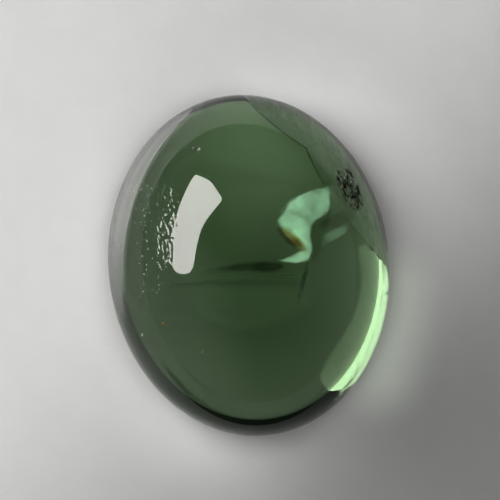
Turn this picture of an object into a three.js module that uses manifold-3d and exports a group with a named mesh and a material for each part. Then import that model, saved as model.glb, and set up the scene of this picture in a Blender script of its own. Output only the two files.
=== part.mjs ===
// A green apatite, cut and polished as an oval cabochon: a clear high dome over a low rounded back.
// Millimetres, +Z up, the long axis along Y. The origin is under the middle of the stone,
// on the small flat spot at the bottom of the back.
import * as THREE from "three";
import { mergeVertices } from "three/addons/utils/BufferGeometryUtils.js";
import Module from "manifold-3d";

const wasm = await Module();
wasm.setup();

// Driving dimensions. The girdle is the widest level of the stone.
const GIRDLE_LENGTH = 11;
const GIRDLE_WIDTH = 9;
const DOME_HEIGHT = 4;
const BACK_DEPTH = 1.3;
const BACK_FULLNESS = 2.9; // 2 would be an ellipse: higher is flatter, with a rounder shoulder
const REST_CUT = 0.035; // worn off the lowest point, which leaves the flat spot

// The steep ground bevel along one side of the girdle, cut by a leaning cone.
const BEVEL_AZIMUTH = 150;
const BEVEL_SHARE = 0.135; // its greatest width, as a share of the half width of the stone
const BEVEL_SHIFT = 0.15; // how far the cone stands off centre, which sets how soon the bevel ends

// Two flat faces of the rough crystal left on the back. Reach is from the axis to the inner edge.
const BACK_FACES = [
  { azimuth: 47, slope: 26, reach: 2.93, depth: 1.1 },
  { azimuth: 23.4, slope: 24, reach: 2.28, depth: 1.15 },
];

// The pitted streak on the dome, and the deep rough pit on the other side.
const STREAK = { from: [-1.95, 2.4], to: [-2.62, 0.25], width: 0.36, pits: 16, radius: 0.09, stretch: 1.7 };
const ROUGH_PIT = { from: [3.52, 2.4], to: [3.42, 1.3], width: 0.32, pits: 7, radius: 0.19, stretch: 1.3 };

// Fineness of the faceted surface.
const AROUND = 88;
const DOME_ROWS = 20;
const BACK_ROWS = 17;
const BACK_ROW_CROWDING = 1.4; // over 1 puts more rows near the girdle, where the back curves most
const PIT_AROUND = 8;
const PIT_ROWS = 6;

const HALF_WIDTH = GIRDLE_WIDTH / 2;
const HALF_LENGTH = GIRDLE_LENGTH / 2;
const GIRDLE_Z = BACK_DEPTH - REST_CUT;
const CUTTER_SIZE = 3 * GIRDLE_LENGTH;
const GOLDEN_SHARE = (Math.sqrt(5) - 1) / 2;

// A closed geometry as a solid that can be cut.
function solidOf(geometry) {
  const bare = geometry.clone();
  bare.deleteAttribute("normal");
  bare.deleteAttribute("uv");
  const merged = mergeVertices(bare, 1e-5);
  const vertProperties = new Float32Array(merged.attributes.position.array);
  const triVerts = new Uint32Array(merged.index.array);
  return new wasm.Manifold(new wasm.Mesh({ numProp: 3, vertProperties, triVerts }));
}

// A solid back to a geometry with flat facets.
function geometryOf(solid) {
  const mesh = solid.getMesh();
  const geometry = new THREE.BufferGeometry();
  geometry.setAttribute("position", new THREE.BufferAttribute(mesh.vertProperties, mesh.numProp));
  geometry.setIndex(new THREE.BufferAttribute(mesh.triVerts, 1));
  geometry.computeVertexNormals();
  return geometry;
}

// Half of the stone's section, from the middle of the back, round the girdle and up to the top.
// The radius runs from 0 to 1, and is stretched to the oval afterwards.
function sectionPoints() {
  const points = [];
  for (let i = BACK_ROWS; i > 0; i -= 1) {
    const turn = (Math.PI / 2) * (i / BACK_ROWS) ** BACK_ROW_CROWDING;
    const depth = BACK_DEPTH * Math.sin(turn) ** (2 / BACK_FULLNESS);
    points.push(new THREE.Vector2(i === BACK_ROWS ? 0 : Math.cos(turn), GIRDLE_Z - depth));
  }
  for (let i = 0; i <= DOME_ROWS; i += 1) {
    const turn = (Math.PI / 2) * (i / DOME_ROWS);
    const height = DOME_HEIGHT * Math.sin(turn);
    points.push(new THREE.Vector2(i === DOME_ROWS ? 0 : Math.cos(turn), GIRDLE_Z + height));
  }
  return points;
}

// The whole oval stone before anything is cut from it.
function ovalStone() {
  const round = new THREE.LatheGeometry(sectionPoints(), AROUND);
  round.rotateX(Math.PI / 2);
  round.scale(HALF_WIDTH, HALF_LENGTH, 1);
  return solidOf(round);
}

// Everything on the outer side of a plane. The plane passes through the point at this reach
// and height, and faces outwards along its azimuth and down by its slope.
function outsideOfPlane(azimuth, slope, reach, height) {
  const box = new THREE.BoxGeometry(CUTTER_SIZE, CUTTER_SIZE, CUTTER_SIZE);
  const turn = THREE.MathUtils.degToRad(azimuth);
  const facing = new THREE.Vector3(0, 0, -1);
  facing.applyAxisAngle(new THREE.Vector3(0, 1, 0), -THREE.MathUtils.degToRad(slope));
  facing.applyAxisAngle(new THREE.Vector3(0, 0, 1), turn);
  box.applyQuaternion(new THREE.Quaternion().setFromUnitVectors(new THREE.Vector3(0, 0, -1), facing));
  const onPlane = new THREE.Vector3(reach * Math.cos(turn), reach * Math.sin(turn), height);
  const centre = onPlane.addScaledVector(facing, CUTTER_SIZE / 2);
  box.translate(centre.x, centre.y, centre.z);
  return solidOf(box);
}

// The flat spot, and the two flat faces left of the rough crystal.
function cutFlats(stone) {
  let cut = stone.subtract(outsideOfPlane(0, 0, 0, 0));
  for (const face of BACK_FACES) {
    cut = cut.subtract(outsideOfPlane(face.azimuth, face.slope, face.reach, GIRDLE_Z - face.depth));
  }
  return cut;
}

// What the bevel leaves: a tall cone of the girdle's oval that only touches the girdle on the
// bevel's side. Its wall leans so that there it also meets the dome at the bevel's inner edge.
function insideOfBevel() {
  const edgeHeight = DOME_HEIGHT * Math.sqrt(1 - (1 - BEVEL_SHARE) ** 2);
  const taper = BEVEL_SHARE / edgeHeight;
  const below = 2 * BACK_DEPTH;
  const above = 2 * DOME_HEIGHT;
  const radiusAt = (z) => 1 + BEVEL_SHIFT - taper * z;
  const cone = new THREE.CylinderGeometry(radiusAt(above), radiusAt(-below), above + below, 2 * AROUND);
  cone.rotateX(Math.PI / 2);
  const away = THREE.MathUtils.degToRad(BEVEL_AZIMUTH + 180);
  cone.translate(BEVEL_SHIFT * Math.cos(away), BEVEL_SHIFT * Math.sin(away), GIRDLE_Z + (above - below) / 2);
  cone.scale(HALF_WIDTH, HALF_LENGTH, 1);
  return solidOf(cone);
}

// The point of the dome above a place in the plan, and the way the dome faces there.
function onDome(x, y) {
  const share = 1 - (x / HALF_WIDTH) ** 2 - (y / HALF_LENGTH) ** 2;
  const rise = DOME_HEIGHT * Math.sqrt(share);
  const facing = new THREE.Vector3(x / HALF_WIDTH ** 2, y / HALF_LENGTH ** 2, rise / DOME_HEIGHT ** 2);
  return { point: new THREE.Vector3(x, y, GIRDLE_Z + rise), facing: facing.normalize() };
}

// A row of long shallow pits scattered along a line in the plan, each drawn out along the row.
function pitsAlong(row) {
  const from = new THREE.Vector2(...row.from);
  const along = new THREE.Vector2(...row.to).sub(from);
  const across = new THREE.Vector2(-along.y, along.x).normalize();
  const heading = Math.atan2(along.y, along.x);
  const pits = [];
  for (let i = 0; i < row.pits; i += 1) {
    const scatter = (i * GOLDEN_SHARE) % 1;
    const place = from.clone().addScaledVector(along, (i + 0.5) / row.pits);
    place.addScaledVector(across, row.width * (scatter - 0.5));
    const radius = row.radius * (0.75 + 0.5 * ((i * GOLDEN_SHARE * 2) % 1));
    const pit = new THREE.SphereGeometry(radius, PIT_AROUND, PIT_ROWS);
    pit.scale(row.stretch, 1, 0.7);
    pit.rotateZ(heading);
    const { point, facing } = onDome(place.x, place.y);
    pit.applyQuaternion(new THREE.Quaternion().setFromUnitVectors(new THREE.Vector3(0, 0, 1), facing));
    pit.translate(point.x, point.y, point.z);
    pits.push(solidOf(pit));
  }
  return pits;
}

function stoneSolid() {
  let stone = cutFlats(ovalStone()).intersect(insideOfBevel());
  for (const pit of [...pitsAlong(STREAK), ...pitsAlong(ROUGH_PIT)]) {
    stone = stone.subtract(pit);
  }
  return stone;
}

// Clear green crystal with a polished skin.
function apatite() {
  const material = new THREE.MeshStandardMaterial({ color: 0x35513a, roughness: 0.08, metalness: 0 });
  material.transparent = true;
  material.opacity = 0.8;
  return material;
}

const cabochon = new THREE.Mesh(geometryOf(stoneSolid()), apatite());
cabochon.name = "apatite_cabochon";

const part = new THREE.Group();
part.name = "green_apatite_cabochon";
part.add(cabochon);

export default part;
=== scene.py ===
# Green apatite cabochon lying on a pale table, seen from above.
import math

import bpy
from mathutils import Matrix, Vector


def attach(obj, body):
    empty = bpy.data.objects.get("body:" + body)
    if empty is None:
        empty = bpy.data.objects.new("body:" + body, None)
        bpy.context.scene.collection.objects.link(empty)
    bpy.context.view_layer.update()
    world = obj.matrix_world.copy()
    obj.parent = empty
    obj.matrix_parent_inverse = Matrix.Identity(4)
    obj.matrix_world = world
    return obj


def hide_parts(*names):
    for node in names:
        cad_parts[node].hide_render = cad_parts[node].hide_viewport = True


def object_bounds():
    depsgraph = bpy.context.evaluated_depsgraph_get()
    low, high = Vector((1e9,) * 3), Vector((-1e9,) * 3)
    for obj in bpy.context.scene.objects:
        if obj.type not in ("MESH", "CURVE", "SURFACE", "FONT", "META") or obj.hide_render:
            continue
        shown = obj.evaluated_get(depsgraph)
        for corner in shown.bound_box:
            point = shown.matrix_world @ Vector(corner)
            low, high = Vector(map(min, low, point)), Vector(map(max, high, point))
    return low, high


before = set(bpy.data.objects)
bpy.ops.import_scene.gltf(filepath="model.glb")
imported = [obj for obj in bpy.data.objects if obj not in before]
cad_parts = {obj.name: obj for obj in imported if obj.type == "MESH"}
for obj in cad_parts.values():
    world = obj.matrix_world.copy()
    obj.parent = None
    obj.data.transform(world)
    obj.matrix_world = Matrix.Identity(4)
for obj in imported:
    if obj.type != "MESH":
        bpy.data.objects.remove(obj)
cadLow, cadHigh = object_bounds()

mm = 0.001
goldenShare = (math.sqrt(5) - 1) / 2


# small helpers for modelling, all in millimetres until shrinkToMetres

def deselectAll():
    if bpy.context.object and bpy.context.object.mode != "OBJECT":
        bpy.ops.object.mode_set(mode="OBJECT")
    bpy.ops.object.select_all(action="DESELECT")


def pick(*pieces):
    deselectAll()
    for piece in pieces:
        piece.select_set(True)
    bpy.context.view_layer.objects.active = pieces[0]
    return pieces[0]


def applyPlace(piece):
    pick(piece)
    bpy.ops.object.transform_apply(location=True, rotation=True, scale=True)


def applyModifiers(piece):
    pick(piece)
    for modifier in list(piece.modifiers):
        bpy.ops.object.modifier_apply(modifier=modifier.name)


def newMesh(name, points, edges=(), faces=()):
    data = bpy.data.meshes.new(name)
    data.from_pydata(points, edges, faces)
    piece = bpy.data.objects.new(name, data)
    bpy.context.scene.collection.objects.link(piece)
    return piece


def roughen(piece, name, size, strength):
    # pushes the surface in and out with a cloudy pattern
    texture = bpy.data.textures.new(name, "CLOUDS")
    texture.noise_scale = size
    texture.noise_depth = 2
    pushed = piece.modifiers.new(name, "DISPLACE")
    pushed.texture = texture
    pushed.texture_coords = "LOCAL"
    pushed.strength = strength
    applyModifiers(piece)


# the stone's outside

stone = {
    "halfWidth": (cadHigh[0] - cadLow[0]) / 2 / mm,
    "halfLength": (cadHigh[1] - cadLow[1]) / 2 / mm,
    "girdleHeight": 1.265,  # above the table
    "backDepth": 1.3,
    "backFullness": 2.9,  # 2 is an ellipse, higher is flatter with a rounder shoulder
    "backRowCrowding": 1.6,
    "steps": 288,
    "domeRows": 76,
    "backRows": 52,
    "mergeWithin": 1e-4,  # closes the seam and both poles
    "cutWithin": 1e-5,
    "smoothBelow": 20,  # degrees between faces that look like one surface
}
stone["domeHeight"] = cadHigh[2] / mm - stone["girdleHeight"]

# flat faces of the rough crystal left on the back, reach is from the axis to the inner edge
backFaces = [
    {"azimuth": 47, "slope": 26, "reach": 2.93, "depth": 1.1},
    {"azimuth": 23.4, "slope": 24, "reach": 2.28, "depth": 1.15},
]

# the ground bevel, its greatest width is a share of the half width
bevel = {"azimuth": 150, "share": 0.135, "shift": 0.15}


def sectionPoints():
    # from the middle of the back, round the girdle and up to the top, at radius 1
    rows = stone["backRows"]
    points = []
    for i in range(rows, 0, -1):
        turn = math.pi / 2 * (i / rows) ** stone["backRowCrowding"]
        depth = stone["backDepth"] * math.sin(turn) ** (2 / stone["backFullness"])
        points.append((0 if i == rows else math.cos(turn), 0, stone["girdleHeight"] - depth))
    rows = stone["domeRows"]
    for i in range(rows + 1):
        turn = math.pi / 2 * i / rows
        height = stone["girdleHeight"] + stone["domeHeight"] * math.sin(turn)
        points.append((0 if i == rows else math.cos(turn), 0, height))
    return points


def spinStone():
    points = sectionPoints()
    piece = newMesh("polished_stone", points, [(i, i + 1) for i in range(len(points) - 1)])
    pick(piece)
    bpy.ops.object.mode_set(mode="EDIT")
    bpy.ops.mesh.select_all(action="SELECT")
    bpy.ops.mesh.spin(
        steps=stone["steps"], angle=2 * math.pi, center=(0, 0, 0), axis=(0, 0, 1), use_auto_merge=False
    )
    bpy.ops.mesh.select_all(action="SELECT")
    bpy.ops.mesh.remove_doubles(threshold=stone["mergeWithin"])
    bpy.ops.mesh.normals_make_consistent(inside=False)
    bpy.ops.transform.resize(value=(stone["halfWidth"], stone["halfLength"], 1), center_override=(0, 0, 0))
    bpy.ops.object.mode_set(mode="OBJECT")
    return piece


def faceDirection(azimuth, slope):
    # outwards along the azimuth and down by the slope
    side = math.sin(math.radians(slope))
    turn = math.radians(azimuth)
    return Vector((side * math.cos(turn), side * math.sin(turn), -math.cos(math.radians(slope))))


def trimFlat(piece, onPlane, facing):
    pick(piece)
    bpy.ops.object.mode_set(mode="EDIT")
    bpy.ops.mesh.select_all(action="SELECT")
    bpy.ops.mesh.bisect(
        plane_co=onPlane, plane_no=facing, use_fill=True, clear_outer=True, threshold=stone["cutWithin"]
    )
    bpy.ops.object.mode_set(mode="OBJECT")


def cutFlats(piece):
    trimFlat(piece, (0, 0, 0), (0, 0, -1))
    for face in backFaces:
        turn = math.radians(face["azimuth"])
        height = stone["girdleHeight"] - face["depth"]
        onPlane = (face["reach"] * math.cos(turn), face["reach"] * math.sin(turn), height)
        trimFlat(piece, onPlane, faceDirection(face["azimuth"], face["slope"]))


def combine(piece, tool, operation):
    cut = piece.modifiers.new(operation, "BOOLEAN")
    cut.operation = operation
    cut.solver = "MANIFOLD"
    cut.object = tool
    applyModifiers(piece)
    piece.data.materials.clear()  # the cut leaves an empty slot behind
    bpy.data.objects.remove(tool)


def bevelTaper():
    # how much the bevel's cone narrows in each millimetre upwards, as a share of the half width
    edgeHeight = stone["domeHeight"] * math.sqrt(1 - (1 - bevel["share"]) ** 2)
    return bevel["share"] / edgeHeight


def grindBevel(piece):
    # what the bevel leaves is a tall leaning cone of the girdle's oval
    taper = bevelTaper()
    below, above = 2 * stone["backDepth"], 2 * stone["domeHeight"]
    away = math.radians(bevel["azimuth"] + 180)
    deselectAll()
    bpy.ops.mesh.primitive_cone_add(
        vertices=2 * stone["steps"],
        radius1=1 + bevel["shift"] + taper * below,
        radius2=1 + bevel["shift"] - taper * above,
        depth=above + below,
        location=(
            bevel["shift"] * math.cos(away),
            bevel["shift"] * math.sin(away),
            stone["girdleHeight"] + (above - below) / 2,
        ),
    )
    cone = bpy.context.object
    bpy.ops.object.transform_apply(location=True, rotation=True, scale=True)
    bpy.ops.object.mode_set(mode="EDIT")
    bpy.ops.mesh.select_all(action="SELECT")
    bpy.ops.transform.resize(value=(stone["halfWidth"], stone["halfLength"], 1), center_override=(0, 0, 0))
    bpy.ops.object.mode_set(mode="OBJECT")
    combine(piece, cone, "INTERSECT")


def onDome(x, y):
    # the point of the dome above a place in the plan, and the way it faces
    share = 1 - (x / stone["halfWidth"]) ** 2 - (y / stone["halfLength"]) ** 2
    rise = stone["domeHeight"] * math.sqrt(share)
    facing = Vector(
        (x / stone["halfWidth"] ** 2, y / stone["halfLength"] ** 2, rise / stone["domeHeight"] ** 2)
    )
    return Vector((x, y, stone["girdleHeight"] + rise)), facing.normalized()


# pits in the dome

# lift raises each pit's middle above the dome, as a share of its radius
pitRows = [
    # the long streak of shallow pits
    {
        "from": (-1.95, 2.4),
        "to": (-2.62, 0.25),
        "width": 0.34,
        "pits": 16,
        "radius": 0.05,
        "stretch": 1.9,
        "lift": 0.55,
    },
    # the rough pit across the stone from it
    {
        "from": (3.32, 2.25),
        "to": (3.54, 1.4),
        "width": 0.38,
        "pits": 13,
        "radius": 0.10,
        "stretch": 1.5,
        "lift": 0.3,
    },
    # three small ones above the streak
    {
        "from": (-1.66, 3.72),
        "to": (-1.10, 3.50),
        "width": 0.04,
        "pits": 3,
        "radius": 0.12,
        "stretch": 1.4,
        "lift": 0.4,
    },
]
pitShape = {
    "smallest": 0.6,  # as a share of the row's radius
    "spread": 0.8,
    "flatness": 0.7,
    "subdivisions": 3,
    "bumpSize": 0.12,
    "bumpDepth": 0.03,
}


def carvePits(piece, row):
    start = Vector(row["from"])
    along = Vector(row["to"]) - start
    across = Vector((-along.y, along.x)).normalized()
    heading = Matrix.Rotation(math.atan2(along.y, along.x), 4, "Z")
    for i in range(row["pits"]):
        place = start + along * ((i + 0.5) / row["pits"])
        place += across * row["width"] * ((i * goldenShare) % 1 - 0.5)
        radius = row["radius"] * (pitShape["smallest"] + pitShape["spread"] * ((i * goldenShare * 2) % 1))
        point, facing = onDome(place.x, place.y)
        deselectAll()
        bpy.ops.mesh.primitive_ico_sphere_add(subdivisions=pitShape["subdivisions"], radius=radius)
        pit = bpy.context.object
        lean = facing.to_track_quat("Z", "Y").to_matrix().to_4x4()
        flatten = Matrix.Diagonal((row["stretch"], 1, pitShape["flatness"], 1))
        raised = point + facing * row["lift"] * radius
        pit.data.transform(Matrix.Translation(raised) @ lean @ heading @ flatten)
        roughen(pit, "pit_walls", pitShape["bumpSize"], pitShape["bumpDepth"])
        combine(piece, pit, "DIFFERENCE")


# fractures: thin sheets inside the stone. Where a sheet is open it mirrors some of the light, and
# where it is closed it only tints what is seen through it.

fractures = [
    # the feather that flashes mint in the window's light, with its neck and its spike
    {
        "name": "feather",
        "outline": [
            (0.74, 0.95), (0.90, 1.27), (1.14, 1.53), (1.66, 1.71), (2.27, 1.80), (2.50, 1.66),
            (2.60, 1.36), (2.26, 1.10), (1.86, 0.87), (1.68, 0.75), (1.63, 0.48), (1.66, 0.19),
            (1.63, -0.02), (1.49, -0.27), (1.13, -0.30), (0.60, -0.13), (1.01, -0.03), (1.22, 0.09),
            (1.06, 0.32), (0.88, 0.60),
        ],
        "through": (1.5, 1.0, 2.2),
        "slope": 18,
        "azimuth": 112,
        "open": (1.0, 0.45),  # at its west and its east end
        "fade": 0.10,  # width of its closing rim
        "tint": (1, 1, 1),
    },
    # its dimmer wing, on the other side of the neck
    {
        "name": "wing",
        "outline": [(1.66, 0.44), (2.05, 0.60), (2.50, 0.72), (2.56, 0.48), (2.20, 0.26), (1.72, 0.08)],
        "through": (1.9, 0.45, 1.9),
        "slope": 10,
        "azimuth": 120,
        "open": (0.12, 0.24),
        "fade": 0.10,
        "tint": (1, 1, 1),
    },
    # painted shade: a closed grey sheet that darkens the strip between the two
    {
        "name": "shade",
        "outline": [(1.66, 0.86), (2.20, 1.08), (2.75, 1.30), (2.80, 0.80), (2.40, 0.66), (1.66, 0.55)],
        "through": (2.1, 0.8, 1.7),
        "slope": 4,
        "azimuth": 0,
        "open": (0, 0),
        "fade": 0.16,
        "tint": (0.84, 0.84, 0.82),
    },
    # iron stain beside the neck
    {
        "name": "stain",
        "outline": [
            (0.72, 0.74), (0.95, 0.84), (1.20, 0.68), (1.38, 0.45), (1.46, 0.22),
            (1.34, 0.08), (1.16, 0.12), (0.98, 0.28), (0.84, 0.48),
        ],
        "through": (1.1, 0.5, 2.65),
        "slope": 0,
        "azimuth": 0,
        "open": (0, 0),
        "fade": 0.17,
        "tint": (0.60, 0.40, 0.14),
    },
    # a steep hairline across the stone, seen along its edge
    {
        "name": "hairline",
        "outline": [
            (-1.63, -0.205), (-0.70, -0.23), (0.25, -0.31), (1.01, -0.42),
            (1.01, -0.48), (0.25, -0.37), (-0.70, -0.27), (-1.63, -0.22),
        ],
        "through": (0, -0.31, 0.48),
        "slope": 82,
        "azimuth": 88,
        "open": (0.6, 0.6),
        "fade": 0.01,
        "tint": (0.7, 0.7, 0.7),
    },
    # the dark tongue that runs west from the spike, a crack whose darkness is painted shade, a grey tint on
    # a closed sheet
    {
        "name": "tongue",
        "outline": [
            (-1.00, 0.05), (-0.18, 0.10), (0.32, 0.08), (0.72, -0.02),
            (0.78, -0.18), (0.44, -0.26), (-0.20, -0.14), (-1.00, 0.00),
        ],
        "through": (0.3, -0.1, 0.4),
        "slope": 3,
        "azimuth": 90,
        "open": (0, 0),
        "fade": 0.10,
        "tint": (0.66, 0.68, 0.65),
    },
    # the curved crack below the neck
    {
        "name": "hook",
        "outline": [
            (1.56, -0.30), (1.50, -0.56), (1.36, -0.90), (1.20, -1.22), (1.06, -1.40),
            (1.08, -1.10), (1.20, -0.80), (1.34, -0.52), (1.46, -0.30),
        ],
        "through": (1.3, -0.8, 2.7),
        "slope": 35,
        "azimuth": 200,
        "open": (0.25, 0.25),
        "fade": 0.06,
        "tint": (0.62, 0.64, 0.62),
    },
]

# cuts is how often each sheet's triangles are divided, and wave the size of its waves
gap = {"width": 0.012, "cuts": 9, "waviness": 0.02, "wave": 1.2}


def rimDistance(point, outline):
    # how far a point of the plan is from an outline
    nearest = math.inf
    for start, end in zip(outline, outline[1:] + outline[:1]):
        along = Vector(end) - Vector(start)
        share = (point - Vector(start)).dot(along) / along.length_squared
        nearest = min(nearest, (Vector(start) + along * min(max(share, 0), 1) - point).length)
    return nearest


def openFracture(fracture):
    turn, slope = math.radians(fracture["azimuth"]), math.radians(fracture["slope"])
    facing = Vector((math.sin(slope) * math.cos(turn), math.sin(slope) * math.sin(turn), math.cos(slope)))
    through = Vector(fracture["through"])
    points = []
    for x, y in fracture["outline"]:
        rise = ((through.x - x) * facing.x + (through.y - y) * facing.y) / facing.z
        points.append((x, y, through.z + rise))
    sheet = newMesh(fracture["name"], points, faces=[range(len(points))])
    pick(sheet)
    bpy.ops.object.mode_set(mode="EDIT")
    bpy.ops.mesh.select_all(action="SELECT")
    bpy.ops.mesh.quads_convert_to_tris()
    bpy.ops.mesh.subdivide(number_cuts=gap["cuts"])
    bpy.ops.object.mode_set(mode="OBJECT")
    distances = [rimDistance(point.co.xy, fracture["outline"]) for point in sheet.data.vertices]
    sheet.data.attributes.new("rim", "FLOAT", "POINT").data.foreach_set("value", distances)
    roughen(sheet, "fracture_waves", gap["wave"], gap["waviness"])
    wall = sheet.modifiers.new("gap", "SOLIDIFY")
    wall.thickness = gap["width"]
    wall.offset = 0
    applyModifiers(sheet)
    bpy.ops.object.mode_set(mode="EDIT")
    bpy.ops.mesh.select_all(action="SELECT")
    bpy.ops.mesh.normals_make_consistent(inside=True)  # out of the stone, into the gap
    bpy.ops.object.mode_set(mode="OBJECT")
    return sheet


def shrinkToMetres(piece):
    pick(piece)
    piece.scale = (mm, mm, mm)
    applyPlace(piece)


def buildStone():
    piece = spinStone()
    cutFlats(piece)
    grindBevel(piece)
    for row in pitRows:
        carvePits(piece, row)
    return piece


# materials, written as sums on sockets

class Wire:
    # one output socket that can be added, multiplied and compared
    def __init__(self, shop, socket):
        self.shop = shop
        self.socket = socket

    def math(self, operation, *others):
        sockets = {0: self, **dict(enumerate(others, 1))}
        return self.shop.node("ShaderNodeMath", {"operation": operation}, sockets)

    def __add__(self, other):
        return self.math("ADD", other)

    def __sub__(self, other):
        return self.math("SUBTRACT", other)

    def __rsub__(self, other):
        return self.shop.node("ShaderNodeMath", {"operation": "SUBTRACT"}, {0: other, 1: self})

    def __mul__(self, other):
        return self.math("MULTIPLY", other)

    def __truediv__(self, other):
        return self.math("DIVIDE", other)

    __radd__ = __add__
    __rmul__ = __mul__

    def clamped(self):
        return self.shop.node("ShaderNodeClamp", {}, {"Value": self})

    def ramp(self, low, high, start=0.0, end=1.0):
        # a smooth step from start to end as the value goes from low to high
        sockets = {"Value": self, "From Min": low, "From Max": high, "To Min": start, "To Max": end}
        return self.shop.node("ShaderNodeMapRange", {"interpolation_type": "SMOOTHSTEP"}, sockets, "Result")


class Shop:
    # builds the nodes of one material, or of the room's light
    def __init__(self, owner):
        self.owner = owner
        owner.use_nodes = True
        self.tree = owner.node_tree
        self.tree.nodes.clear()

    def node(self, kind, settings, sockets, output=0):
        made = self.tree.nodes.new(kind)
        for key, value in settings.items():
            setattr(made, key, value)
        for key, value in sockets.items():
            if isinstance(value, Wire):
                self.tree.links.new(value.socket, made.inputs[key])
            else:
                made.inputs[key].default_value = value
        return Wire(self, made.outputs[output])

    def place(self, output="Object"):
        return self.node("ShaderNodeTexCoord", {}, {}, output)

    def parts(self, vector):
        split = self.node("ShaderNodeSeparateXYZ", {}, {"Vector": vector})
        outputs = split.socket.node.outputs
        return [Wire(self, outputs[axis]) for axis in ("X", "Y", "Z")]

    def stretched(self, x=0.0, y=0.0, z=0.0):
        return self.node("ShaderNodeCombineXYZ", {}, {"X": x, "Y": y, "Z": z})

    def noise(self, vector, scale=1.0, detail=2.0, roughness=0.5):
        sockets = {"Vector": vector, "Scale": scale, "Detail": detail, "Roughness": roughness}
        return self.node("ShaderNodeTexNoise", {}, sockets)

    def flat(self, tone):
        # a matt surface of one tone
        return self.node("ShaderNodeBsdfDiffuse", {}, {"Color": tone, "Roughness": 0.5})

    def blend(self, share, first, second):
        return self.node("ShaderNodeMixShader", {}, {0: share, 1: first, 2: second})

    def nearLine(self, place, start, end, fromTo):
        # 1 beside a short line, and 0 farther away, in the plan or in space
        along = Vector(end) - Vector(start)
        off = [part - at for part, at in zip(place, start)]
        share = (sum(part * step for part, step in zip(off, along)) / along.length_squared).clamped()
        off = [part - share * step for part, step in zip(off, along)]
        return sum(part * part for part in off).math("SQRT").ramp(*fromTo, 1.0, 0.0)

    def finish(self, surface, volume=None, kind="ShaderNodeOutputMaterial"):
        output = self.tree.nodes.new(kind)
        self.tree.links.new(surface.socket, output.inputs["Surface"])
        if volume:
            self.tree.links.new(volume.socket, output.inputs["Volume"])
        return self.owner


def newShop(name):
    return Shop(bpy.data.materials.new(name))


apatite = {
    "ior": 1.634,
    "absorbed": (0.252, 0.202, 0.27),  # of red, green and blue, in each millimetre
    "upperFade": 0.1,  # wear on the dome fades out this far above the girdle
    "rawRoughness": 0.45,
    "rawShare": 0.5,  # how much of the raw faces of the back is frosted
    "rawWithin": (-0.004, -0.002),  # a surface this near to a face's plane lies in it
    "rawEdgeWithin": (-0.017, -0.010),
    "rawEdgeShadeTone": (0.04, 0.05, 0.035, 1),
    "rawEdgeShadeShare": 0.45,  # of the painted shade, a dark line along the edge round those faces
    "rawEdgeNorth": (1.0, 2.8),
    "rawEdgeFade": 0.05,
    "groundShare": 0.37,  # how much of the ground bevel is frosted
    "groundTone": (0.80, 0.80, 0.78),
    "groundOuter": 0.6,  # its outer edge is this much darker
    "groundOuterFromTo": (0.93, 0.99),
    "groundWithin": (-0.003, -0.001),
    "groundNorth": (-1.5, 2.0, 0.35, 1.0),  # it is clearer to the south
    "edgeWithin": (-0.014, -0.006),
    "edgeShare": 0.13,  # of the bevel's worn inner edge
    "edgeNorth": (-1.5, 0.0),
    "rimTone": (0.34, 0.30, 0.33, 1),
    "rimShare": 0.45,  # of the unpolished band along the girdle on the east side
    "rimFromTo": (0.945, 0.965),
    "rimEast": (0.5, 2.5),
    "rimNorth": (-0.6, 0.6),
}

# noises of the wear: repeats in each millimetre along x, with a slant along y, along y, and up
noises = {
    "waves": {"repeats": (7, 1.5, 4, 2), "detail": 1.5, "roughness": 0.5},
    "grit": {"repeats": (9, 2.5, 4, 3), "detail": 5.0, "roughness": 0.7},
    "lines": {"repeats": (9, 0, 2, 2), "detail": 4.0, "roughness": 0.7, "share": (0.3, 0.7, 0.4, 1.0)},
    "streaks": {"repeats": (60, 8), "detail": 3.0, "share": (0.25, 0.75, 0.88, 1.04)},
}

# wear on the dome and painted glints, in millimetres of the plan
ripples = {"from": (-2.36, 2.4), "to": (-2.72, 0.2), "fromTo": (0.16, 0.34), "depth": 0.06}
# bright specks: dust, together with painted glints of fine pits
dustAndGlints = {
    "from": (-3.05, 2.5),
    "to": (-3.15, -0.5),
    "fromTo": (0.2, 0.7),
    "perMillimetre": 9,
    "radius": 0.34,
    "core": 0.17,
    "shown": (0.1, 0.9),  # grains differ, and the least of them hardly show
    "share": 0.42,
}
roughPatch = {
    "from": (3.32, 2.20),
    "to": (3.54, 1.42),
    "fromTo": (0.20, 0.40),
    "stained": 1.0,
    "stainFromTo": (0.52, 0.42),
    "stainTone": (0.035, 0.022, 0.012, 1),
    "glintFromTo": (0.56, 0.66),
    "glintShare": 0.5,
}
scratches = [
    # a hair scratch, two bright chips, an orange speck, a nick at the bevel's end, two grains on the girdle
    {"from": (1.76, -4.46), "to": (2.18, -4.13), "width": 0.018, "tone": (0.45, 0.48, 0.43, 1)},
    {"from": (-3.66, -1.98), "to": (-3.63, -1.92), "width": 0.03, "tone": (0.5, 0.55, 0.5, 1)},
    {"from": (-1.84, -2.80), "to": (-1.82, -2.78), "width": 0.025, "tone": (0.4, 0.45, 0.35, 1)},
    {"from": (-2.98, -1.75), "to": (-2.94, -1.72), "width": 0.03, "tone": (0.35, 0.18, 0.05, 1)},
    {"from": (-1.80, 4.58), "to": (-1.50, 4.68), "width": 0.035, "tone": (0.12, 0.11, 0.12, 1)},
    {"from": (3.72, 3.02), "to": (3.74, 2.98), "width": 0.12, "tone": (0.03, 0.02, 0.015, 1)},
    {"from": (3.88, 2.72), "to": (3.90, 2.68), "width": 0.09, "tone": (0.03, 0.02, 0.015, 1)},
]


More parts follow.
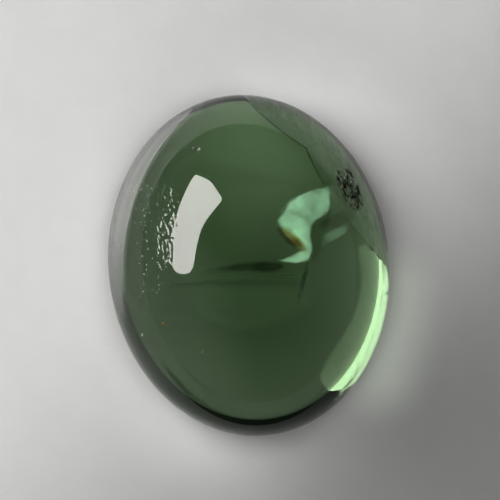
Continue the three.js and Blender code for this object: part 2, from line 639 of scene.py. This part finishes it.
def rawFaces(shop, x, y, z):
    # where the surface lies in one of the raw faces, and the band along their edge that gets a line of
    # painted shade
    raw = near = 0.0
    for face in backFaces:
        turn = math.radians(face["azimuth"])
        height = stone["girdleHeight"] - face["depth"]
        onPlane = Vector((face["reach"] * math.cos(turn), face["reach"] * math.sin(turn), height))
        facing = faceDirection(face["azimuth"], face["slope"])
        outward = x * facing.x + y * facing.y + z * facing.z - facing.dot(onPlane)
        raw = outward.ramp(*apatite["rawWithin"]) + raw
        near = outward.ramp(*apatite["rawEdgeWithin"]) + near
    raw = raw.clamped()
    return raw, near.clamped() - raw


def bevelReach(x, y, z):
    # how far the surface stands out past the bevel's cone, as a share of the half width
    taper = bevelTaper()
    away = math.radians(bevel["azimuth"] + 180)
    acrossX = x / stone["halfWidth"] - bevel["shift"] * math.cos(away)
    acrossY = y / stone["halfLength"] - bevel["shift"] * math.sin(away)
    reach = (acrossX * acrossX + acrossY * acrossY).math("SQRT")
    return reach + (z - stone["girdleHeight"]) * taper - (1 + bevel["shift"]), reach


def wearNoise(shop, x, y, z, kind):
    noise = noises[kind]
    along, slant, across, up = noise["repeats"]
    place = shop.stretched(x * along + y * slant, y * across, z * up)
    return shop.noise(place, detail=noise["detail"], roughness=noise["roughness"])


def clearStone(shop, raw, height):
    # the polished stone, and the same stone seen through a raw face
    bumps = shop.node(
        "ShaderNodeBump",
        {},
        {"Strength": 1.0, "Distance": ripples["depth"] * mm, "Height": height},
        "Normal",
    )
    return shop.node(
        "ShaderNodeBsdfPrincipled",
        {},
        {
            "Base Color": (1, 1, 1, 1),
            "Roughness": raw * apatite["rawRoughness"],
            "IOR": apatite["ior"],
            "Transmission Weight": 1.0,
            "Normal": bumps,
        },
    )


def dustAndGlintsOn(shop, x, y, z):
    # fine bright grains beside the ripples: dust, together with painted glints of fine pits
    sockets = {"Vector": shop.stretched(x, y, z), "Scale": dustAndGlints["perMillimetre"]}
    dots = shop.node("ShaderNodeTexVoronoi", {}, sockets)
    shown = shop.parts(Wire(shop, dots.socket.node.outputs["Color"]))[0].ramp(*dustAndGlints["shown"])
    dusty = shop.nearLine((x, y), dustAndGlints["from"], dustAndGlints["to"], dustAndGlints["fromTo"])
    return dots.ramp(dustAndGlints["radius"], dustAndGlints["core"]) * shown * dusty * dustAndGlints["share"]


def apatiteMaterial():
    shop = newShop("green apatite")
    strongest = max(apatite["absorbed"])
    tint = [1 - share / strongest for share in apatite["absorbed"]]
    volume = shop.node(
        "ShaderNodeVolumeAbsorption", {}, {"Color": (*tint, 1), "Density": strongest / mm}
    )
    x, y, z = (part / mm for part in shop.parts(shop.place()))
    upper = z.ramp(stone["girdleHeight"], stone["girdleHeight"] + apatite["upperFade"])
    raw, rawEdge = rawFaces(shop, x, y, z)
    past, reach = bevelReach(x, y, z)
    onBevel = past.ramp(*apatite["groundWithin"])
    bevelEdge = past.ramp(*apatite["edgeWithin"]) * (1 - onBevel)

    # waves in the polish beside the pits, and the broken surface of the rough pit
    wavy = shop.nearLine((x, y), ripples["from"], ripples["to"], ripples["fromTo"]) * upper
    waves = wearNoise(shop, x, y, z, "waves")
    rough = shop.nearLine((x, y), roughPatch["from"], roughPatch["to"], roughPatch["fromTo"]) * upper
    grit = wearNoise(shop, x, y, z, "grit")
    clear = clearStone(shop, raw, (waves - 0.5) * wavy + (grit - 0.5) * rough)

    streaks, lines = noises["streaks"], noises["lines"]
    ground = shop.noise(
        shop.stretched(reach * streaks["repeats"][0], z * streaks["repeats"][1]), detail=streaks["detail"]
    )
    frostAndGlints = onBevel * apatite["groundShare"] * ground.ramp(*streaks["share"])
    frostAndGlints = frostAndGlints * y.ramp(*apatite["groundNorth"])
    frostAndGlints = frostAndGlints + bevelEdge * apatite["edgeShare"] * y.ramp(*apatite["edgeNorth"])
    frostAndGlints = frostAndGlints + raw * apatite["rawShare"] * wearNoise(shop, x, y, z, "lines").ramp(*lines["share"])
    frostAndGlints = frostAndGlints + dustAndGlintsOn(shop, x, y, z) * upper
    # painted glints: bright flecks of the frosted tone in the rough pit
    frostAndGlints = frostAndGlints + grit.ramp(*roughPatch["glintFromTo"]) * rough * roughPatch["glintShare"]
    girdleReach = (x * x / stone["halfWidth"] ** 2 + y * y / stone["halfLength"] ** 2).math("SQRT")
    shade = girdleReach.ramp(*apatite["groundOuterFromTo"], 1.0, apatite["groundOuter"])
    red, green, blue = (shade * part for part in apatite["groundTone"])
    tone = shop.node("ShaderNodeCombineColor", {}, {"Red": red, "Green": green, "Blue": blue})
    surface = shop.blend(frostAndGlints.clamped(), clear, shop.flat(tone))

    rimBand = girdleReach.ramp(*apatite["rimFromTo"]) * x.ramp(*apatite["rimEast"])
    rimBand = rimBand * y.ramp(*apatite["rimNorth"]) * apatite["rimShare"]
    surface = shop.blend(rimBand, surface, shop.flat(apatite["rimTone"]))

    # painted shade: a dark line along the edge of the raw faces, below the girdle and to the north
    lower = z.ramp(stone["girdleHeight"], stone["girdleHeight"] - apatite["rawEdgeFade"])
    edgeShare = rawEdge * lower * y.ramp(*apatite["rawEdgeNorth"]) * apatite["rawEdgeShadeShare"]
    surface = shop.blend(edgeShare, surface, shop.flat(apatite["rawEdgeShadeTone"]))

    stainShare = grit.ramp(*roughPatch["stainFromTo"]) * rough * roughPatch["stained"]
    surface = shop.blend(stainShare, surface, shop.flat(roughPatch["stainTone"]))
    for mark in scratches:
        start, end = onDome(*mark["from"])[0], onDome(*mark["to"])[0]
        share = shop.nearLine((x, y, z), start, end, (0.5 * mark["width"], mark["width"]))
        surface = shop.blend(share, surface, shop.flat(mark["tone"]))
    return shop.finish(surface, volume)


gapWall = {
    "cloudsPerMillimetre": 1.6,
    "cloudDetail": 4.0,
    "cloudRoughness": 0.6,
    "openClouds": (0.3, 0.7, 0.6, 1.2),
    "closedClouds": (0.3, 0.65, 0.45, 1.0),
    "silverShare": 0.1,  # mirrors this much more than the bare gap
    "silverTone": (0.55, 1.0, 0.78, 1),
    "silverRoughness": 0.1,
}


def fractureMaterial(fracture):
    shop = newShop(fracture["name"] + " in apatite")
    x = shop.parts(shop.place())[0] / mm
    perMetre = gapWall["cloudsPerMillimetre"] / mm
    clouds = shop.noise(shop.place(), perMetre, gapWall["cloudDetail"], gapWall["cloudRoughness"])
    rim = shop.node("ShaderNodeAttribute", {"attribute_name": "rim"}, {}, "Fac")
    inner = rim.ramp(0.0, fracture["fade"])
    west = min(corner[0] for corner in fracture["outline"])
    east = max(corner[0] for corner in fracture["outline"])
    opened = x.ramp(west, east, *fracture["open"]) * clouds.ramp(*gapWall["openClouds"]) * inner
    wall = shop.node(
        "ShaderNodeBsdfPrincipled",
        {},
        {
            "Base Color": (1, 1, 1, 1),
            "Roughness": 0.0,
            "IOR": apatite["ior"],
            "Transmission Weight": 1.0,
        },
    )
    silver = shop.node(
        "ShaderNodeBsdfGlossy", {}, {"Color": gapWall["silverTone"], "Roughness": gapWall["silverRoughness"]}
    )
    wall = shop.blend(gapWall["silverShare"], wall, silver)
    share = inner * clouds.ramp(*gapWall["closedClouds"])
    tint = shop.node(
        "ShaderNodeMix", {"data_type": "RGBA"}, {0: share, 6: (1, 1, 1, 1), 7: (*fracture["tint"], 1)}, 2
    )
    closed = shop.node("ShaderNodeBsdfTransparent", {}, {"Color": tint})
    return shop.finish(shop.blend(opened.clamped(), closed, wall))


# table, light and camera

photo = {
    "roll": 7.0,  # the stone lies turned by this, seen from above
    "lean": (-0.5, -5.5),  # degrees that the view comes from the left and from below
    "pixelsPerMillimetre": 31.15,
    "ovalCentre": (248.8, 265.1),  # in the photograph's frame
    "frame": 500,
    "distance": 120,
    "focusHeight": 1.3,
    "clip": (0.001, 10),
}

studio = {
    "tableShade": 0.75,
    "tableBlue": 0.985,
    "paintedShadeAzimuth": -46,  # painted shade: the table darkens this way
    "paintedShadeFromTo": (-4, 11),
    "paintedShadeShare": 0.48,
    "paleShare": 0.29,  # painted light: paler round the stone, fading outwards and inwards
    "paleOuter": (4.8, 8.5),
    "paleInner": (1.5, 4.5),
    "paleAwayFrom": 172,
    "paleInnerShare": 0.45,
    "paleAcross": (0, 4.5, 1.0, 0.05),
    "grain": {"repeats": 0.9, "share": (0.3, 0.7, 0.985, 1.0)},
    "tableRoughness": 0.9,
    # painted light: the glow that the stone throws on the table beside its bright side
    "paintedCaustic": {
        "from": (4.58, -1.21),
        "to": (3.91, -4.04),
        "fromTo": (0.0, 1.9),
        "tone": (0.20, 0.25, 0.18),
    },
    "tableSize": 1000,
    "cardSize": (20, 3.0),
    "cardBelow": -8.3,
    "cardLift": 0.05,
    "cardTone": (0.07, 0.07, 0.07, 1),
    "tableGap": 0.01,  # keeps the flat spot's lower face clear of the table
    "windowAzimuth": 155,
    "windowHeight": 36,
    "windowDistance": 130,
    "windowSize": (105, 65),
    "windowStrength": 5.0,
    # corners on a sheet at the window's distance, of what the dome mirrors and of what is seen through it
    "mirroredCorners": [
        (-56, -14), (24, -12), (48, -10), (60, 2), (58, 24), (48, 38), (-4, 38), (-54, 56), (-62, 20),
    ],
    "seenThroughCorners": [
        (65, -5), (46, -24), (30, -41), (12, -52), (-12, -60), (-38, -60), (-76, -53), (-86, -30),
        (-72, 0), (-50, 14), (-27, 14), (-9, 12), (9, 13), (25, 18), (48, 32),
    ],
    "paneRounding": 6,
    "paneSegments": 6,
    "mirroredStrength": 9.6,
    "mirroredTone": (1.0, 0.93, 0.96),
    "seenThroughStrength": 10.5,
    "seenThroughTone": (0.95, 0.83, 1.0),
    "skyAzimuth": 150,
    "skyHeight": 90,
    "skySize": 400,
    "skyDistance": 500,
    "skyStrength": 2.6,
    "fillAzimuth": 255,
    "fillHeight": 35,
    "fillSize": 400,
    "fillDistance": 400,
    "fillStrength": 1.35,
    "roomStrength": 0.09,
    # lighter sides of the room, low down
    "walls": [
        {"azimuth": 205, "height": 8, "strength": 0.55},
        {"azimuth": 25, "height": 8, "strength": 0.25},
    ],
    "wallFromTo": (0.3, 1.0),
    # a soft glow that only the polish mirrors
    "glowAzimuth": 75,
    "glowHeight": 45,
    "glowDistance": 500,
    "glowSize": 1100,
    "glowStrength": 0.4,
}


def inPhoto(x, y, z=0):
    # a direction given as seen in the photograph, in the stone's own frame
    return Matrix.Rotation(-math.radians(photo["roll"]), 3, "Z") @ Vector((x, y, z))


def levelTowards(azimuth):
    turn = math.radians(azimuth)
    return inPhoto(math.cos(turn), math.sin(turn))


def addTable():
    deselectAll()
    size, below = studio["tableSize"] * mm, -studio["tableGap"] * mm
    bpy.ops.mesh.primitive_plane_add(size=size, location=(0, 0, below))
    table = bpy.context.object
    table.name = "table_top"
    shop = newShop("pale table")
    shade, grain = studio["tableShade"], studio["grain"]
    x, y = (part / mm for part in shop.parts(shop.place())[:2])
    # painted shade: the table's tone darkens towards the lower right
    towards = levelTowards(studio["paintedShadeAzimuth"])
    along = x * towards.x + y * towards.y
    grains = shop.noise(shop.place(), grain["repeats"] / mm)
    tone = along.ramp(*studio["paintedShadeFromTo"], shade, shade * studio["paintedShadeShare"]) * grains.ramp(*grain["share"])
    # painted light: a paler ring round the stone that lifts its shadow, strongest on the east side
    distance = (x * x + y * y).math("SQRT")
    shaded = levelTowards(studio["paleAwayFrom"])
    across = x * shaded.x + y * shaded.y
    paintedLift = distance.ramp(*studio["paleOuter"], studio["paleShare"], 0.0)
    paintedLift = paintedLift * distance.ramp(*studio["paleInner"], studio["paleInnerShare"], 1.0)
    tone = tone * (paintedLift * across.ramp(*studio["paleAcross"]) + 1)
    # painted light: a greenish glow in the table's colour beside the stone's bright side
    paintedCaustic = studio["paintedCaustic"]
    glow = shop.nearLine((x, y), paintedCaustic["from"], paintedCaustic["to"], paintedCaustic["fromTo"])
    red, green, blue = (tone * (glow * part + 1) for part in paintedCaustic["tone"])
    tinted = shop.node(
        "ShaderNodeCombineColor", {}, {"Red": red, "Green": green, "Blue": blue * studio["tableBlue"]}
    )
    surface = shop.node(
        "ShaderNodeBsdfPrincipled",
        {},
        {"Base Color": tinted, "Roughness": studio["tableRoughness"], "Specular IOR Level": 0.0},
    )
    table.data.materials.append(shop.finish(surface))


def addCard():
    # painted shade: a dark card outside the frame, seen only in and through the stone, which deepens the
    # edge of the stone where the dome mirrors it
    deselectAll()
    centre = inPhoto(0, studio["cardBelow"] - studio["cardSize"][1] / 2, studio["cardLift"]) * mm
    bpy.ops.mesh.primitive_plane_add(size=mm, location=centre)
    card = bpy.context.object
    card.name = "dark_card"
    card.scale = (studio["cardSize"][0], studio["cardSize"][1], 1)
    card.rotation_euler.z = -math.radians(photo["roll"])
    shop = newShop("dark card")
    card.data.materials.append(shop.finish(shop.flat(studio["cardTone"])))
    card.visible_camera = card.visible_shadow = card.visible_diffuse = False


def addAreaLight(name, towards, distance, size, radiance):
    data = bpy.data.lights.new(name, "AREA")
    data.shape = "RECTANGLE"
    data.size, data.size_y = size[0] * mm, size[1] * mm
    data.energy = radiance * math.pi * data.size * data.size_y
    lamp = bpy.data.objects.new(name, data)
    bpy.context.scene.collection.objects.link(lamp)
    lamp.location = towards * distance * mm
    lamp.rotation_euler = (-towards).to_track_quat("-Z", "Y").to_euler()
    return lamp


def towardsLight(azimuth, height):
    # azimuth and height as seen in the photograph
    turn, rise = math.radians(azimuth), math.radians(height)
    return inPhoto(math.cos(turn) * math.cos(rise), math.sin(turn) * math.cos(rise), math.sin(rise))


def addPane(name, corners, towards, distance):
    # a bright sheet that faces the stone, which neither the camera nor the table sees
    pane = newMesh(name, [(x, y, 0) for x, y in corners], faces=[range(len(corners))])
    pick(pane)
    bpy.ops.object.mode_set(mode="EDIT")
    bpy.ops.mesh.select_all(action="SELECT")
    bpy.ops.mesh.bevel(offset=studio["paneRounding"], segments=studio["paneSegments"], affect="VERTICES")
    bpy.ops.object.mode_set(mode="OBJECT")
    shrinkToMetres(pane)
    across = Vector((0, 0, 1)).cross(towards).normalized()
    turn = Matrix((across, towards.cross(across), towards)).transposed().to_4x4()
    pane.matrix_world = Matrix.Translation(towards * distance * mm) @ turn
    pane.visible_diffuse = pane.visible_camera = pane.visible_shadow = False
    return pane


def lightUp(pane, strength, softening=None, tone=(1, 1, 1)):
    # softening is the radius at which a soft pane ends
    shop = newShop(pane.name)
    if softening:
        x, y, z = shop.parts(shop.place())
        strength = (x * x + y * y).math("SQRT").ramp(0.0, softening * mm, strength, 0.0)
    light = shop.node("ShaderNodeEmission", {}, {"Color": (*tone, 1), "Strength": strength})
    pane.data.materials.append(shop.finish(light))


def addWindow():
    # the lamp lights the table, and each pane is one of the two ways to see the window
    towards = towardsLight(studio["windowAzimuth"], studio["windowHeight"])
    distance = studio["windowDistance"]
    lamp = addAreaLight("window_light", towards, distance, studio["windowSize"], studio["windowStrength"])
    lamp.visible_glossy = lamp.visible_transmission = False
    mirrored = addPane("mirrored_window", studio["mirroredCorners"], towards, distance)
    lightUp(mirrored, studio["mirroredStrength"], tone=studio["mirroredTone"])
    mirrored.visible_transmission = False
    seenThrough = addPane("window_seen_through", studio["seenThroughCorners"], towards, distance)
    lightUp(seenThrough, studio["seenThroughStrength"], tone=studio["seenThroughTone"])
    seenThrough.visible_glossy = False


def addSoftLights():
    for name in ("sky", "fill"):
        side = studio[name + "Size"]
        towards = towardsLight(studio[name + "Azimuth"], studio[name + "Height"])
        distance, strength = studio[name + "Distance"], studio[name + "Strength"]
        lamp = addAreaLight("soft_" + name, towards, distance, (side, side), strength)
        lamp.visible_glossy = False
    half = studio["glowSize"] / 2
    corners = [(-half, -half), (half, -half), (half, half), (-half, half)]
    towards = towardsLight(studio["glowAzimuth"], studio["glowHeight"])
    glow = addPane("soft_glow", corners, towards, studio["glowDistance"])
    lightUp(glow, studio["glowStrength"], half)
    glow.visible_transmission = False


def lightRoom():
    # seen in the stone and behind it, but the table isn't lit by it
    shop = Shop(bpy.data.worlds.new("room"))
    x, y, z = shop.parts(shop.place("Generated"))
    strength = studio["roomStrength"]
    for wall in studio["walls"]:
        towards = towardsLight(wall["azimuth"], wall["height"])
        facing = x * towards.x + y * towards.y + z * towards.z
        strength = facing.ramp(*studio["wallFromTo"], 0.0, wall["strength"]) + strength
    room = shop.node("ShaderNodeBackground", {}, {"Color": (1, 1, 1, 1), "Strength": strength})
    world = shop.finish(room, kind="ShaderNodeOutputWorld")
    world.cycles_visibility.diffuse = False
    bpy.context.scene.world = world


def addCamera():
    data = bpy.data.cameras.new("camera")
    camera = bpy.data.objects.new("camera", data)
    bpy.context.scene.collection.objects.link(camera)
    bpy.context.scene.camera = camera
    seen = photo["frame"] / photo["pixelsPerMillimetre"]
    data.lens = data.sensor_width * photo["distance"] / seen
    data.clip_start, data.clip_end = photo["clip"]
    half = photo["frame"] / 2
    offX = (half - photo["ovalCentre"][0]) / photo["pixelsPerMillimetre"]
    offY = (photo["ovalCentre"][1] - half) / photo["pixelsPerMillimetre"]
    target = (inPhoto(offX, offY) + Vector((0, 0, photo["focusHeight"]))) * mm
    leanX, leanY = (math.sin(math.radians(angle)) for angle in photo["lean"])
    back = inPhoto(leanX, leanY, math.sqrt(1 - leanX**2 - leanY**2))
    right = inPhoto(0, 1).cross(back).normalized()
    up = back.cross(right)
    turn = Matrix((right, up, back)).transposed().to_4x4()
    camera.matrix_world = Matrix.Translation(target + back * photo["distance"] * mm) @ turn


rendering = {"gamma": 0.7, "bounces": 24, "transmissionBounces": 20, "glossyBounces": 12}


def setRender():
    scene = bpy.context.scene
    scene.view_settings.view_transform = "Standard"
    scene.view_settings.gamma = rendering["gamma"]
    scene.cycles.max_bounces = rendering["bounces"]
    scene.cycles.transmission_bounces = rendering["transmissionBounces"]
    scene.cycles.glossy_bounces = rendering["glossyBounces"]
    scene.cycles.caustics_refractive = True
    scene.cycles.caustics_reflective = True
    scene.cycles.blur_glossy = 0
    scene.cycles.sample_clamp_indirect = 0
    scene.cycles.use_denoising = True


addTable()
addCard()
addWindow()
addSoftLights()
lightRoom()
addCamera()
setRender()
print("table, lights and camera ready")

polished = buildStone()
shrinkToMetres(polished)
bpy.ops.object.shade_smooth_by_angle(angle=math.radians(stone["smoothBelow"]))
polished.data.materials.append(apatiteMaterial())
sheets = []
for fracture in fractures:
    sheet = openFracture(fracture)
    shrinkToMetres(sheet)
    sheet.data.materials.append(fractureMaterial(fracture))
    sheets.append(sheet)
pick(polished, *sheets)
bpy.ops.object.join()
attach(polished, "root")
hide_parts("apatite_cabochon")
print("stone built with", len(polished.data.polygons), "faces")
